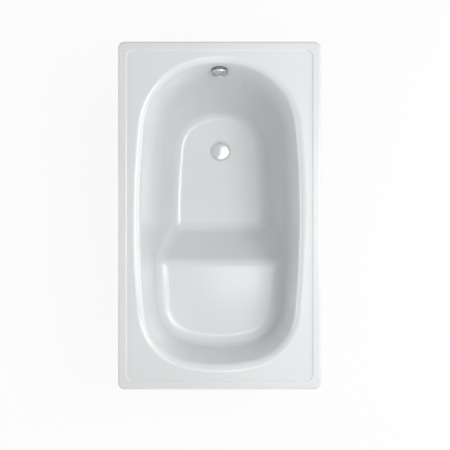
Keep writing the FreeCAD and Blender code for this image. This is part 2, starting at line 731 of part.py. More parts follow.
def make_waste():
    """Waste body under the floor, its gasket, and the chrome flange with its seal."""
    spot = at(0, drain_y, waste_top_z)
    thread = "(flange_bore_radius+flange_tube_wall+thread_fit)"
    chamber = "(body_radius-chamber_wall)"
    dip_bore = "(dip_tube_radius-dip_tube_wall)"
    chamber_low = "(-thread_depth-chamber_depth)"
    body_low = f"({chamber_low}-chamber_wall)"
    dip_low = f"({body_low}-dip_tube_length)"
    flange_low = "-body_flange_thickness"
    solid_outline = [("0", "0"), ("body_flange_radius", "0"), ("body_flange_radius", flange_low),
                     ("body_radius", flange_low), ("body_radius", body_low),
                     ("dip_tube_radius", body_low), ("dip_tube_radius", dip_low), ("0", dip_low)]
    bore_outline = [("0", "overrun"), (thread, "overrun"), (thread, "-thread_depth"),
                    (chamber, "-thread_depth"), (chamber, chamber_low), (dip_bore, chamber_low),
                    (dip_bore, f"{dip_low}-overrun"), ("0", f"{dip_low}-overrun")]
    core = turned("waste_core", solid_outline, spot)
    bore = turned("waste_bore", bore_outline, spot)
    inlet_z = waste_top_z - size.inlet_drop
    inlet = cylinder("waste_inlet", "pipe_radius+pipe_fit+socket_wall", "inlet_reach",
                     at(0, drain_y, inlet_z, ALONG_Y))
    inlet_bore = cylinder("waste_inlet_bore", "pipe_radius+pipe_fit", "inlet_reach+overrun",
                          at(0, drain_y, inlet_z, ALONG_Y))
    boss = cylinder("waste_cable_boss", "cable_boss_radius", "cable_port_reach",
                    at(size.cable_offset, drain_y, inlet_z, ALONG_Y))
    boss_bore = cylinder("waste_cable_bore", "cable_radius+cable_fit", "cable_boss_depth+overrun",
                         at(size.cable_offset, drain_y + size.cable_port_reach - size.cable_boss_depth,
                            inlet_z, ALONG_Y))
    pivot = cylinder("waste_pivot_bore", "lever_shaft_radius+running_fit", "4*body_radius",
                     at(-2 * size.body_radius, drain_y - size.lever_reach,
                        waste_top_z - size.lever_drop, ALONG_X))
    solid = joined("waste_solid", core, inlet, boss)
    keep(cut("waste_body", solid, bore, inlet_bore, boss_bore, pivot))
    keep(ring("waste_gasket", "waste_gasket_bore", "body_flange_radius", "waste_gasket_thickness", spot))

    seal_spot = at(0, drain_y, recess_z)
    keep(ring("flange_seal", "drain_hole_radius+flange_seal_thickness", "flange_seal_radius",
              "flange_seal_thickness", seal_spot))
    make_flange(at(0, drain_y, recess_z + size.flange_seal_thickness))


def make_flange(spot):
    """Chrome flange: a rim in the recess, a tube through the hole and a spider for the stem."""
    tube = "flange_bore_radius+flange_tube_wall"
    shell = turned("flange_shell", [("flange_bore_radius", "flange_thickness"),
                                    ("flange_radius", "flange_thickness"), ("flange_radius", "0"),
                                    (tube, "0"), (tube, "-flange_tube_length"),
                                    ("flange_bore_radius", "-flange_tube_length")], spot)
    low = Placement(spot.Base - Vector(0, 0, size.flange_tube_length), Rotation())
    hub = cylinder("flange_hub", "spider_hub_radius", "spider_height", low)
    arms = []
    for number in range(SPIDER_ARMS):
        turn = Rotation(Vector(0, 0, 1), 360 / SPIDER_ARMS * number + 90)
        corner = low.Base + turn.multVec(Vector(0, -size.spider_arm_width / 2, 0))
        arms.append(box(f"flange_arm_{number}", "flange_bore_radius+flange_tube_wall/2",
                        "spider_arm_width", "spider_height", Placement(corner, turn)))
    guide = cylinder("flange_guide", "stem_radius+running_fit", "spider_height+2*overrun",
                     Placement(low.Base - Vector(0, 0, size.overrun), Rotation()))
    return keep(cut("waste_flange", joined("flange_solid", shell, hub, *arms), guide))


def make_plug():
    """Domed chrome cap on a stem, with a seal that closes on the flange."""
    seal_z = floor_z + size.plug_seat_gap
    cap_z = seal_z + size.plug_seal_thickness
    keep(ring("plug_seal", "plug_seal_bore", "plug_seal_radius", "plug_seal_thickness",
              at(0, drain_y, seal_z)))
    keep(domed_disc("plug_cap", "plug_radius", "plug_edge", "plug_rise", at(0, drain_y, cap_z)))
    stem_low = waste_top_z - size.lever_drop + size.lever_tip_radius + size.lever_gap
    above_body = "waste_gasket_thickness+sheet_thickness+recess_depth+plug_seat_gap+plug_seal_thickness"
    keep(cylinder("plug_stem", "stem_radius", f"{above_body}+lever_drop-lever_tip_radius-lever_gap",
                  at(0, drain_y, stem_low)))


def domed_disc(label, radius, edge, rise, spot):
    """A disc with an upright edge and a spherical top."""
    disc = cylinder(label + "_disc", radius, f"{edge}+{rise}", spot)
    ball = doc.addObject("Part::Sphere", label + "_ball")
    curve = f"(({radius})^2+({rise})^2)/(2*{rise})"
    ball.setExpression("Radius", bound(curve))
    doc.recompute()
    depth = getattr(size, edge) + getattr(size, rise) - ball.Radius.Value
    ball.Placement = spot.multiply(at(0, 0, depth))
    dome = doc.addObject("Part::Common", label)
    dome.Base = disc
    dome.Tool = ball
    return dome


def make_lever():
    """Lever that lifts the stem, its shaft through the waste body and the arm outside."""
    pivot_y = drain_y - size.lever_reach
    pivot_z = waste_top_z - size.lever_drop
    left = -size.lever_thickness / 2
    hub = cylinder("lever_hub", "lever_hub_radius", "lever_thickness", at(left, pivot_y, pivot_z, ALONG_X))
    tip = cylinder("lever_tip", "lever_tip_radius", "lever_thickness",
                   at(left, drain_y, pivot_z, ALONG_X))
    bar = box("lever_bar", "lever_thickness", "lever_reach", "lever_bar_height",
              at(left, pivot_y, pivot_z - size.lever_bar_height / 2))
    bore = cylinder("lever_bore", "lever_shaft_radius+running_fit", "lever_thickness",
                    at(left, pivot_y, pivot_z, ALONG_X))
    keep(cut("lift_lever", joined("lever_solid", hub, tip, bar), bore))

    keep(cylinder("lever_shaft", "lever_shaft_radius", "lever_shaft_left+lever_shaft_right",
                  at(-size.lever_shaft_left, pivot_y, pivot_z, ALONG_X)))

    outside = size.lever_arm_offset
    arm_hub = cylinder("arm_hub", "lever_arm_width/2+lever_shaft_radius/2", "lever_arm_thickness",
                       at(outside, pivot_y, pivot_z, ALONG_X))
    arm_bar = box("arm_bar", "lever_arm_thickness", "lever_arm_width", "lever_arm_length",
                  at(outside, pivot_y - size.lever_arm_width / 2, pivot_z))
    arm_end = cylinder("arm_end", "lever_arm_width/2", "lever_arm_thickness",
                       at(outside, pivot_y, pivot_z + size.lever_arm_length, ALONG_X))
    arm_bore = cylinder("arm_bore", "lever_shaft_radius+running_fit", "lever_arm_thickness",
                        at(outside, pivot_y, pivot_z, ALONG_X))
    keep(cut("lever_arm", joined("arm_solid", arm_hub, arm_bar, arm_end), arm_bore))


def make_trap():
    """Drum trap that the dip tube of the waste body reaches into."""
    body_low = waste_top_z - size.thread_depth - size.chamber_depth - size.chamber_wall
    head_z = body_low - size.trap_seal_thickness
    neck = "dip_tube_radius+pipe_fit"
    inner = "trap_radius-trap_wall"
    keep(ring("trap_seal", neck, "trap_seal_radius", "trap_seal_thickness", at(0, drain_y, head_z)))

    drum = turned("trap_drum", [(neck, "0"), ("trap_radius", "0"), ("trap_radius", "-trap_head_height"),
                                (inner, "-trap_head_height"), (inner, "-trap_wall"), (neck, "-trap_wall")],
                  at(0, drain_y, head_z))
    outlet_spot = at(size.trap_radius - size.trap_wall, drain_y, head_z - size.outlet_drop, ALONG_X)
    outlet = cylinder("trap_outlet", "outlet_radius", "outlet_reach-trap_radius+trap_wall", outlet_spot)
    collar_spot = at(size.trap_radius - size.trap_wall / 2, drain_y, head_z - size.outlet_drop, ALONG_X)
    collar = cylinder("trap_outlet_collar", "outlet_collar_radius",
                      "outlet_collar_reach-trap_radius+trap_wall/2", collar_spot)
    bore_spot = at(size.trap_radius - 2 * size.trap_wall, drain_y, head_z - size.outlet_drop, ALONG_X)
    outlet_bore = cylinder("trap_outlet_bore", "outlet_radius-outlet_wall", "outlet_reach+overrun", bore_spot)
    inside = cylinder("trap_inside", inner, "trap_head_height-trap_wall+overrun",
                      at(0, drain_y, head_z - size.trap_head_height - size.overrun))
    keep(cut("trap_head", joined("trap_solid", drum, outlet, collar), outlet_bore, inside))

    seal_z = head_z - size.trap_head_height - size.cup_seal_thickness
    keep(ring("cup_seal", inner, "trap_radius", "cup_seal_thickness", at(0, drain_y, seal_z)))
    skirt = "trap_radius+pipe_fit"
    outside = f"{skirt}+cup_skirt_wall"
    lap = "cup_seal_thickness+cup_skirt_lap"
    keep(turned("trap_cup", [("0", "-cup_depth"), (outside, "-cup_depth"), (outside, lap), (skirt, lap),
                             (skirt, "0"), (inner, "0"), (inner, "cup_floor-cup_depth"),
                             ("0", "cup_floor-cup_depth")], at(0, drain_y, seal_z)))


# Overflow, pipe and cable

def make_overflow(seat, inside, outside, pipe_y, socket_z):
    """Faceplate, knob and shaft in the tub, and the body behind the wall."""
    def spot(depth, x=0.0):
        return seat.multiply(at(x, 0, depth))

    plate_z = size.face_seal_thickness
    front_z = plate_z + size.faceplate_thickness
    back_z = -size.sheet_thickness - size.back_gasket_thickness
    cup_end_z = back_z - size.overflow_cup_depth
    tail_z = cup_end_z - size.overflow_cup_wall

    make_faceplate(spot(plate_z))
    seal = ring("face_seal_blank", "face_seal_bore", "face_seal_radius", "face_seal_thickness+2*overrun",
                spot(-2 * size.overrun))
    conform("faceplate_seal", seal, inside, True)
    gasket = ring("gasket_blank", "back_gasket_bore", "overflow_flange_radius", "2*overrun", spot(back_z))
    conform("overflow_gasket", gasket, outside, False)

    head = cylinder("screw_head", "screw_head_radius", "screw_head_height", at(0, 0, 0))
    shank = cylinder("screw_shank", "screw_radius", "screw_length", at(0, 0, -size.screw_length))
    screw = joined("overflow_screw", head, shank)
    group("overflow_screws", screw, [spot(front_z, side * size.face_screw_pitch) for side in (-1, 1)])

    make_overflow_body(spot, back_z, cup_end_z, pipe_y, socket_z)

    knob_z = front_z + size.knob_gap
    keep(domed_disc("overflow_knob", "knob_radius", "knob_edge", "knob_rise", spot(knob_z)))
    before_wall = "face_seal_thickness+faceplate_thickness+knob_gap"
    behind_wall = "sheet_thickness+back_gasket_thickness+overflow_cup_depth+overflow_cup_wall+shaft_tail"
    keep(cylinder("knob_shaft", "shaft_radius", f"{before_wall}+{behind_wall}",
                  spot(tail_z - size.shaft_tail)))
    make_crank(spot, tail_z - size.crank_gap - size.crank_thickness)


def conform(label, blank, space, keep_common):
    """A seal whose one face follows the wall of the bowl."""
    doc.recompute()
    piece = doc.addObject("Part::Feature", label)
    shaped = blank.Shape.common(space) if keep_common else blank.Shape.cut(space)
    piece.Shape = max(shaped.Solids, key=lambda solid: solid.Volume)
    return keep(piece)


def make_faceplate(spot):
    """Round plate that the screws hold, with water holes round the shaft."""
    plate = ring("face_disc", "shaft_radius+running_fit", "faceplate_radius", "faceplate_thickness", spot)
    holes = []
    for number in range(FACE_HOLES):
        angle = math.radians(360 / FACE_HOLES * (number + 0.5))
        x = size.face_hole_pitch * math.cos(angle)
        y = size.face_hole_pitch * math.sin(angle)
        holes.append(cylinder(f"face_hole_{number}", "face_hole_radius", "faceplate_thickness",
                              spot.multiply(at(x, y, 0))))
    for side in (-1, 1):
        holes.append(cylinder(f"face_screw_hole_{side + 1}", "screw_radius+screw_clearance",
                              "faceplate_thickness", spot.multiply(at(side * size.face_screw_pitch, 0, 0))))
    return keep(cut("overflow_faceplate", plate, *holes))


def make_overflow_body(spot, back_z, cup_end_z, pipe_y, socket_z):
    """Cup behind the wall with screw bosses, a shaft bearing, a pipe socket and a cable boss."""
    cup_depth = "overflow_cup_depth+overflow_cup_wall"
    cup = turned("overflow_cup", [("0", "0"), ("overflow_flange_radius", "0"),
                                  ("overflow_flange_radius", "-overflow_flange_thickness"),
                                  ("overflow_cup_radius", "-overflow_flange_thickness"),
                                  ("overflow_cup_radius", f"-({cup_depth})"), ("0", f"-({cup_depth})")],
                 spot(back_z))
    socket_top_z = spot(back_z - size.overflow_cup_depth / 2).Base.z
    socket = doc.addObject("Part::Cylinder", "overflow_socket")
    socket.setExpression("Radius", bound("pipe_radius+pipe_fit+socket_wall"))
    socket.Height = socket_top_z - socket_z
    socket.Placement = at(0, pipe_y, socket_z)
    boss = cylinder("overflow_cable_boss", "cable_boss_radius", "cable_boss_length",
                    at(size.cable_offset, pipe_y, socket_top_z - size.cable_boss_length))
    hollow = cylinder("overflow_hollow", "overflow_cup_radius-overflow_cup_wall",
                      "overflow_cup_depth+overrun", spot(cup_end_z))
    socket_bore = doc.addObject("Part::Cylinder", "overflow_socket_bore")
    socket_bore.setExpression("Radius", bound("pipe_radius+pipe_fit"))
    socket_bore.Height = socket_top_z - socket_z + size.overrun
    socket_bore.Placement = at(0, pipe_y, socket_z - size.overrun)
    boss_bore = cylinder("overflow_cable_bore", "cable_radius+cable_fit", "cable_boss_depth+overrun",
                         at(size.cable_offset, pipe_y,
                            socket_top_z - size.cable_boss_length - size.overrun))
    solid = joined("overflow_solid", cup, socket, boss)
    opened = cut("overflow_opened", solid, hollow, socket_bore, boss_bore)

    posts = []
    screw_bores = []
    wall_stack = "face_seal_thickness+sheet_thickness+back_gasket_thickness"
    post_length = wall_stack + "+overflow_cup_depth+overflow_cup_wall/2"
    for side in (-1, 1):
        foot = spot(cup_end_z - size.overflow_cup_wall / 2, side * size.face_screw_pitch)
        posts.append(cylinder(f"overflow_post_{side + 1}", "screw_boss_radius", post_length, foot))
        tip = spot(size.face_seal_thickness - size.screw_length, side * size.face_screw_pitch)
        screw_bores.append(cylinder(f"overflow_screw_bore_{side + 1}", "screw_radius",
                                    "screw_length+overrun", tip))
    bearing = cylinder("overflow_bearing", "shaft_radius+running_fit", "overflow_cup_wall+2*overrun",
                       spot(cup_end_z - size.overflow_cup_wall - size.overrun))
    body = joined("overflow_posted", opened, *posts)
    return keep(cut("overflow_body", body, bearing, *screw_bores))


def make_crank(spot, depth):
    """Crank on the tail of the shaft, with the pin that pulls the cable."""
    hub = cylinder("crank_hub", "crank_hub_radius", "crank_thickness", spot(depth))
    arm = box("crank_bar", "crank_hub_radius", "crank_length", "crank_thickness",
              spot(depth, -size.crank_hub_radius / 2))
    end_spot = spot(depth).multiply(at(0, size.crank_length, 0))
    end = cylinder("crank_end", "crank_hub_radius/2", "crank_thickness", end_spot)
    pin_spot = end_spot.multiply(at(0, 0, -size.crank_pin_length))
    pin = cylinder("crank_pin", "crank_pin_radius", "crank_pin_length+crank_thickness", pin_spot)
    bore = cylinder("crank_bore", "shaft_radius+running_fit", "crank_thickness+2*overrun",
                    spot(depth - size.overrun))
    return keep(cut("knob_crank", joined("crank_solid", hub, arm, end, pin), bore))


def bent_rod(label, radius, x, upright_y, top, level_z, level_end):
    """A round rod that comes down, bends to the level and runs towards the waste."""
    bend = size.pipe_bend_radius
    upright = doc.addObject("Part::Cylinder", label + "_upright")
    upright.setExpression("Radius", bound(radius))
    upright.Height = top - level_z - bend
    upright.Placement = at(x, upright_y, level_z + bend)
    elbow = doc.addObject("Part::Torus", label + "_elbow")
    elbow.setExpression("Radius1", bound("pipe_bend_radius"))
    elbow.setExpression("Radius2", bound(radius))
    elbow.Angle3 = 90
    turn = Rotation(Vector(0, 1, 0), Vector(0, 0, -1), Vector(-1, 0, 0), "XYZ")
    elbow.Placement = at(x, upright_y - bend, level_z + bend, turn)
    level = doc.addObject("Part::Cylinder", label + "_level")
    level.setExpression("Radius", bound(radius))
    level.Height = upright_y - bend - level_end
    level.Placement = at(x, level_end, level_z, ALONG_Y)
    return joined(label, upright, elbow, level)


def make_pipe(pipe_y, socket_z, level_z):
    """Overflow pipe from the overflow body to the waste body, with seals and union nuts."""
    inlet_y = drain_y + size.inlet_reach
    ends = (pipe_y, socket_z + size.socket_depth, level_z, inlet_y - size.socket_depth)
    outer = bent_rod("pipe_outer", "pipe_radius", 0, *ends)
    bore = bent_rod("pipe_bore", "pipe_radius-pipe_wall", 0, *ends)
    keep(cut("overflow_pipe", outer, bore))

    down = Rotation(Vector(1, 0, 0), 180)
    joints = [at(0, pipe_y, socket_z, down), at(0, inlet_y, level_z, ALONG_Y)]
    seal = ring("pipe_seal", "pipe_radius+pipe_fit", "pipe_radius+pipe_fit+socket_wall",
                "pipe_seal_thickness", at(0, 0, 0))
    group("pipe_seals", seal, joints)
    thread = "(pipe_radius+2*pipe_fit+socket_wall)"
    outside = f"({thread}+pipe_nut_wall)"
    collar = "(pipe_radius+pipe_fit)"
    seat = "pipe_seal_thickness"
    top = f"{seat}+pipe_nut_collar"
    low = f"{top}-pipe_nut_length"
    nut = turned("pipe_nut", [(thread, low), (outside, low), (outside, top), (collar, top),
                              (collar, seat), (thread, seat)], at(0, 0, 0))
    group("pipe_nuts", nut, joints)


def make_cable(pipe_y, top_z, level_z):
    """Cable between the overflow and the waste, clipped along the pipe all the way."""
    end_y = drain_y + size.cable_port_reach - size.cable_boss_depth
    keep(bent_rod("control_cable", "cable_radius", size.cable_offset, pipe_y, top_z, level_z, end_y))

    pipe_side = cylinder("clip_pipe_side", "pipe_radius+cable_fit+clip_wall", "clip_length", at(0, 0, 0))
    cable_side = cylinder("clip_cable_side", "cable_radius+cable_fit+clip_wall", "clip_length",
                          at(size.cable_offset, 0, 0))
    bar = box("clip_bar", "cable_offset", "clip_bar_height", "clip_length",
              at(0, -size.clip_bar_height / 2, 0))
    pipe_hole = cylinder("clip_pipe_hole", "pipe_radius+cable_fit", "clip_length", at(0, 0, 0))
    cable_hole = cylinder("clip_cable_hole", "cable_radius+cable_fit", "clip_length",
                          at(size.cable_offset, 0, 0))
    clip = cut("cable_clip", joined("clip_solid", pipe_side, cable_side, bar), pipe_hole, cable_hole)
    upright_low = level_z + size.pipe_bend_radius
    level_far = pipe_y - size.pipe_bend_radius
    spots = [at(0, pipe_y, upright_low + share * (top_z - upright_low)) for share in UPRIGHT_CLIP_SHARES]
    spots += [at(0, end_y + share * (level_far - end_y), level_z, ALONG_Y) for share in LEVEL_CLIP_SHARES]
    group("cable_clips", clip, spots)


def make_tub():
    """All sub-parts of the tub, from the sheet inwards."""
    inside = bowl(0.0)
    outside = bowl(size.sheet_thickness)
    seat = overflow_seat(inside)
    make_shell(inside, outside, seat)
    make_earth_tag()
    make_legs()
    make_waste()
    make_plug()
    make_lever()
    make_trap()
    pipe_y = seat.Base.y + size.pipe_standoff
    socket_z = seat.Base.z - size.outlet_socket_drop
    level_z = waste_top_z - size.inlet_drop
    make_overflow(seat, inside, outside, pipe_y, socket_z)
    make_pipe(pipe_y, socket_z, level_z)
    boss_top = doc.getObject("overflow_cable_boss").Placement.Base.z
    make_cable(pipe_y, boss_top + size.cable_boss_depth, level_z)
    print("overflow seat", tuple(seat.Base), "axis", tuple(seat.Rotation.multVec(Vector(0, 0, 1))))


def write_nodes():
    """Check every object, then write each node to its own file."""
    doc.recompute()
    failed = [item.Label for item in doc.Objects if {"Invalid", "Error"} & set(item.State)]
    for label, piece in nodes.items():
        if piece.Shape.isNull() or not piece.Shape.isValid() or not piece.Shape.Solids:
            failed.append(label)
    if failed:
        raise RuntimeError("pieces that failed: " + ", ".join(failed))
    for label, piece in nodes.items():
        piece.Shape.exportStep(f"parts/{label}.step")
    print(len(nodes), "nodes,", sum(len(piece.Shape.Solids) for piece in nodes.values()), "solids")


make_tub()
write_nodes()
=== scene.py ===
# %% [markdown]
# # A sit-in bathtub, dressed for its picture
# The tub is one pressed steel sheet in white enamel, with a seat at one end and a footwell at
# the other. Its solids come ready made, as a fixed frame that every step below reads its places
# from. This lesson gives them their finishes, rebuilds the pieces whose fine shape the solids
# leave plain, and sets up the light and a camera straight above the tub.

# %% Load the frame
import json
import math

import bmesh
import bpy
from mathutils import Matrix, Vector


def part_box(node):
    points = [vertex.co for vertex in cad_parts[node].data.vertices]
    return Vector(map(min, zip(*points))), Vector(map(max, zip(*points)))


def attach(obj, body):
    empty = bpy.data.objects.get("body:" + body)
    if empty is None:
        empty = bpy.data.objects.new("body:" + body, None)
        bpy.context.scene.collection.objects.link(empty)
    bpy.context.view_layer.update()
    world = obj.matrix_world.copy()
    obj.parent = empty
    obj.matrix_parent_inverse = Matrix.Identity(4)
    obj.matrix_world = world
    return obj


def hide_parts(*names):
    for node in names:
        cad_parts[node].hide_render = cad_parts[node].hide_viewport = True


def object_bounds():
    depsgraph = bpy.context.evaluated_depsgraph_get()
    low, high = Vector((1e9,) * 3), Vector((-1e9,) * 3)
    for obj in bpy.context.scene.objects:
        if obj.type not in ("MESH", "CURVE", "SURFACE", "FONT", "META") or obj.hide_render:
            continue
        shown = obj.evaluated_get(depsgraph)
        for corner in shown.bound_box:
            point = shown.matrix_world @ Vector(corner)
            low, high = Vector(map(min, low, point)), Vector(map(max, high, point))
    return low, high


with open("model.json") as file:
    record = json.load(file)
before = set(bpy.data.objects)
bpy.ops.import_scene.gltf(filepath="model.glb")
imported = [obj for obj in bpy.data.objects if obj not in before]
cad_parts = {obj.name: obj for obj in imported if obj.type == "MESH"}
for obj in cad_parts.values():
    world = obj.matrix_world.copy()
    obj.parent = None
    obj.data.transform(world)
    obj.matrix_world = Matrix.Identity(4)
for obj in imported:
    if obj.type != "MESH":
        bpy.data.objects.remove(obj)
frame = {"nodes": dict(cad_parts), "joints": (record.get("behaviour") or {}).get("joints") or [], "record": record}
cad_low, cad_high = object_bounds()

MM = 0.001
nodes = frame["nodes"]
record = frame["record"]
scene = bpy.context.scene
print("nodes:", len(nodes), "box:", [round(v, 3) for v in (*cad_low, *cad_high)])

# %% [markdown]
# ## Camera
# The picture looks straight down on the tub from about 2.6 m above its rim. An orthographic
# camera would be simpler, but it would show the deep floor of the footwell too large. A lower
# camera would show more of the inner walls, a higher one less, so the height follows from how
# much smaller the footwell floor looks than the rim. The tub sits a little up and to the left of
# the middle, so the camera stands that much to its right and towards the seat.

# %% Camera straight above the tub
RIM_TO_CAMERA = 2.6
VIEW_WIDTH_AT_RIM = 1.5494
CAMERA_ASIDE = Vector((0.0189, -0.0327, 0.0))
SENSOR_WIDTH = 36.0

camera_data = bpy.data.cameras.new("camera")
camera_data.sensor_width = SENSOR_WIDTH
camera_data.lens = SENSOR_WIDTH * RIM_TO_CAMERA / VIEW_WIDTH_AT_RIM
camera = bpy.data.objects.new("camera", camera_data)
camera.location = CAMERA_ASIDE + Vector((0.0, 0.0, cad_high.z + RIM_TO_CAMERA))
scene.collection.objects.link(camera)
scene.camera = camera
print("lens:", round(camera_data.lens, 1), "mm, height:", round(camera.location.z, 3), "m")

# %% [markdown]
# ## Helpers for node materials
# Every finish below is a node material. Building one by hand is a long list of new nodes and
# links, so a few helpers keep the cells short: they add a node and feed its sockets by name, do
# a sum, or start a material and hand back its shader.

# %% Adding nodes and starting a material
def feed(tree, socket, value):
    """Give a socket a link or a plain value."""
    if isinstance(value, bpy.types.NodeSocket):
        tree.links.new(value, socket)
    else:
        socket.default_value = value


def add_node(tree, kind, settings=None, **sockets):
    """Add a node, set its properties and feed the sockets that are named."""
    node = tree.nodes.new(kind)
    for key, value in (settings or {}).items():
        setattr(node, key, value)
    for key, value in sockets.items():
        feed(tree, node.inputs[key.replace("_", " ")], value)
    return node


def start_material(name):
    """A node material with its tree and its Principled shader."""
    material = bpy.data.materials.new(name)
    material.use_nodes = True
    return material, material.node_tree, material.node_tree.nodes["Principled BSDF"]


def rgb(red, green, blue):
    """A colour with full opacity."""
    return (red, green, blue, 1.0)


# %% [markdown]
# ## Sums and mixes
# A mask is a sum with places and directions, and a coat over another coat is a mix. The Mix node
# keeps a set of sockets for each kind of value under the same names, so its sockets are picked by
# their number here: the share, the two values and the result.

# %% Sums and mixes
MIX_SOCKETS = {"RGBA": (0, 6, 7, 2), "FLOAT": (0, 2, 3, 0)}


def add_in_order(tree, kind, settings, values):
    """Add a node and feed its sockets in their order."""
    node = add_node(tree, kind, settings)
    for socket, value in zip(node.inputs, values):
        feed(tree, socket, value)
    return node


def number(tree, operation, *values):
    """The result of a sum with numbers."""
    return add_in_order(tree, "ShaderNodeMath", {"operation": operation}, values).outputs["Value"]


def direction(tree, operation, *values):
    """The vector that a sum with vectors gives."""
    return add_in_order(tree, "ShaderNodeVectorMath", {"operation": operation}, values).outputs["Vector"]


def alignment(tree, first, second):
    """The dot product of two vectors: above zero where they point the same way."""
    settings = {"operation": "DOT_PRODUCT"}
    return add_in_order(tree, "ShaderNodeVectorMath", settings, (first, second)).outputs["Value"]


def blended(tree, kind, share, first, second):
    """Two colours or numbers, mixed by a share."""
    node = add_node(tree, "ShaderNodeMix", {"data_type": kind})
    share_at, first_at, second_at, result_at = MIX_SOCKETS[kind]
    for index, value in ((share_at, share), (first_at, first), (second_at, second)):
        feed(tree, node.inputs[index], value)
    return node.outputs[result_at]


# %% [markdown]
# ## Shared effects
# Enamel, plastic, rubber and metal all vary a little: the tone drifts over a hand's width, the
# gloss changes in patches, and the surface has a fine grain. These are three effects that many
# finishes share, so each is a node group with its own sockets. They read Object coordinates,
# which here are metres in the frame of the tub, so a scale of 300 is a pattern of about 3 mm.

# %% Starting a node group
FLOAT = "NodeSocketFloat"
COLOUR = "NodeSocketColor"


def start_group(name, inputs, outputs):
    """A shader node group with named sockets, its input and output nodes and the place it reads."""
    group = bpy.data.node_groups.new(name, "ShaderNodeTree")
    for in_out, sockets in (("INPUT", inputs), ("OUTPUT", outputs)):
        for label, kind in sockets:
            group.interface.new_socket(name=label, in_out=in_out, socket_type=kind)
    given = group.nodes.new("NodeGroupInput").outputs
    result = group.nodes.new("NodeGroupOutput").inputs
    return group, given, result, add_node(group, "ShaderNodeTexCoord").outputs["Object"]


# %% [markdown]
# ## Tone drift
# No coat has quite the same tone all over. The drift could be painted on each piece, but a noise
# in space gives it to all of them at once. It mixes two tones that lie close together, and the
# middle of its range is stretched, so that both of them are reached.

# %% Tone drift
tone_group, given, result, place = start_group(
    "tone drift", [("Scale", FLOAT), ("First", COLOUR), ("Second", COLOUR)], [("Color", COLOUR)])
drift = add_node(tone_group, "ShaderNodeTexNoise", Vector=place, Scale=given["Scale"], Detail=3.0)
share = add_node(tone_group, "ShaderNodeMapRange", Value=drift.outputs["Fac"], From_Min=0.35, From_Max=0.65)
tone = blended(tone_group, "RGBA", share.outputs["Result"], given["First"], given["Second"])
feed(tone_group, result["Color"], tone)
print("tone drift nodes:", len(tone_group.nodes))

# %% [markdown]
# ## Gloss patches
# Hands, water and polish leave a surface glossier in one place than in another. One roughness all
# over would look like a drawing, so a more detailed noise moves it between a smooth and a dull end.

# %% Gloss patches
gloss_group, given, result, place = start_group(
    "gloss patches", [("Scale", FLOAT), ("Smooth", FLOAT), ("Dull", FLOAT)], [("Roughness", FLOAT)])
patch = add_node(gloss_group, "ShaderNodeTexNoise", Vector=place, Scale=given["Scale"], Detail=5.0)
share = add_node(gloss_group, "ShaderNodeMapRange", Value=patch.outputs["Fac"], From_Min=0.3, From_Max=0.7,
                 To_Min=given["Smooth"], To_Max=given["Dull"])
feed(gloss_group, result["Roughness"], share.outputs["Result"])
print("gloss patches nodes:", len(gloss_group.nodes))

# %% [markdown]
# ## Fine grain
# Enamel ripples like the peel of an orange, and moulded plastic and rubber take the pebbled skin of
# their mould. Real relief this fine would need millions of faces, so it is only a height for a
# bump. One socket goes from ripples to pebbles.

# %% Fine grain
grain_group, given, result, place = start_group(
    "fine grain", [("Scale", FLOAT), ("Roundness", FLOAT)], [("Height", FLOAT)])
ripple = add_node(grain_group, "ShaderNodeTexNoise", Vector=place, Scale=given["Scale"], Detail=2.0)
pebble = add_node(grain_group, "ShaderNodeTexVoronoi", {"feature": "SMOOTH_F1"}, Vector=place,
                  Scale=given["Scale"])
height = blended(grain_group, "FLOAT", given["Roundness"], ripple.outputs["Fac"], pebble.outputs["Distance"])
feed(grain_group, result["Height"], height)
print("groups:", [group.name for group in bpy.data.node_groups])

# %% [markdown]
# ## A finish from the shared effects
# Most finishes differ only in their two tones, their gloss range and their grain, so one function
# makes them all. A finish that needs more, such as the enamel, places the groups itself.

# %% Placing the groups in a material
def place_group(tree, group, **sockets):
    """One use of a shared effect, with its own values."""
    return add_node(tree, "ShaderNodeGroup", {"node_tree": group}, **sockets)


def roughen(tree, shader, scale, roundness, depth):
    """Give a shader the fine grain as a bump."""
    grain = place_group(tree, grain_group, Scale=scale, Roundness=roundness)
    bump = add_node(tree, "ShaderNodeBump", Distance=depth, Height=grain.outputs["Height"])
    feed(tree, shader.inputs["Normal"], bump.outputs["Normal"])


def dress(name, tones, shine, gloss, grain, depth, metal=0.0, tone=9.0, roundness=0.0):
    """A finish from the three shared effects: two tones, a range of roughness and a grain."""
    material, tree, shader = start_material(name)
    colour = place_group(tree, tone_group, Scale=tone, First=rgb(*tones[0]), Second=rgb(*tones[1]))
    feed(tree, shader.inputs["Base Color"], colour.outputs["Color"])
    patches = place_group(tree, gloss_group, Scale=gloss, Smooth=shine[0], Dull=shine[1])
    feed(tree, shader.inputs["Roughness"], patches.outputs["Roughness"])
    roughen(tree, shader, grain, roundness, depth)
    shader.inputs["Metallic"].default_value = metal
    return material


# %% [markdown]
# ## Where the enamel is white
# Vitreous enamel is glass melted onto the steel: a dark ground coat on both sides, then white
# cover coats on the side that shows. The white wraps round the outside of the skirt, and the
# ground coat stays on the underside. The two could be two pieces, but one sheet with a mask is
# truer: the mask asks whether a face looks towards a point high above the drain, or lies on the
# outside of the edge. The corners are round, so they get a wider zone than the straight edges.

# %% Mask for the white side
LOOKOUT = Vector((0.0, 0.26, 0.95))
EDGE_BAND = Vector((12.0 * MM, 12.0 * MM, 0.0))
CORNER = Vector((30.0 * MM, 30.0 * MM, 0.0))
LEVEL = Vector((1.0, 1.0, 0.0))

enamel, tree, shader = start_material("enamel")
coordinates = add_node(tree, "ShaderNodeTexCoord").outputs
spot = coordinates["Object"]
normal = coordinates["Normal"]
facing = alignment(tree, direction(tree, "SUBTRACT", LOOKOUT, spot), normal)

